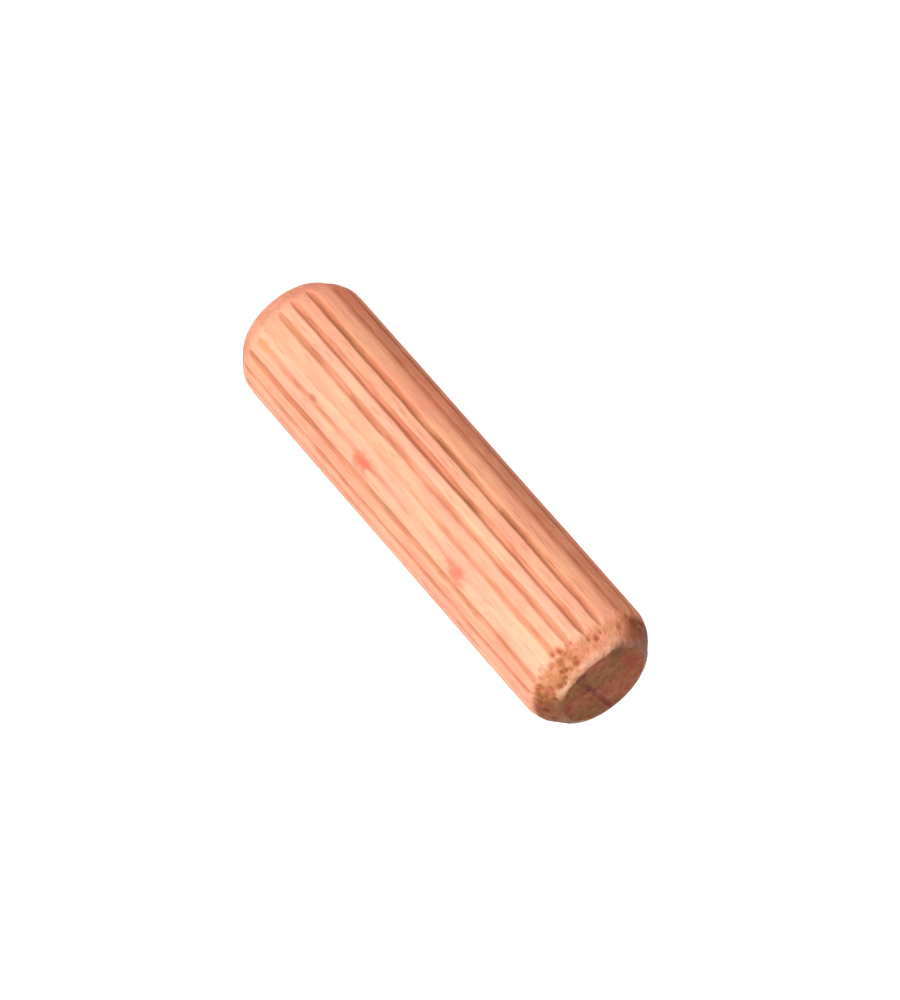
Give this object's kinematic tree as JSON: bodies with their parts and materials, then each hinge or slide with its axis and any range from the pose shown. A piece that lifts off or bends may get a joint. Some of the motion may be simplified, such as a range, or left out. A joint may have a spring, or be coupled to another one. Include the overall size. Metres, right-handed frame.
{
  "type": "fluted wooden dowel pin",
  "caption": "Short round wooden dowel pin with straight flutes along its whole length and a tapered nose at each end.",
  "frame": {"origin": "the middle of the lower sawn end, which the pin stands on", "axes": "+Z along the pin's axis, up towards its other end; one flute points along +X"},
  "size_m": [0.008, 0.008, 0.03],
  "materials": {
    "beech": "raw unfinished beech, matt, darker on the end grain"
  },
  "bodies": {
    "root": {"dowel_pin": "beech"}
  },
  "joints": []
}
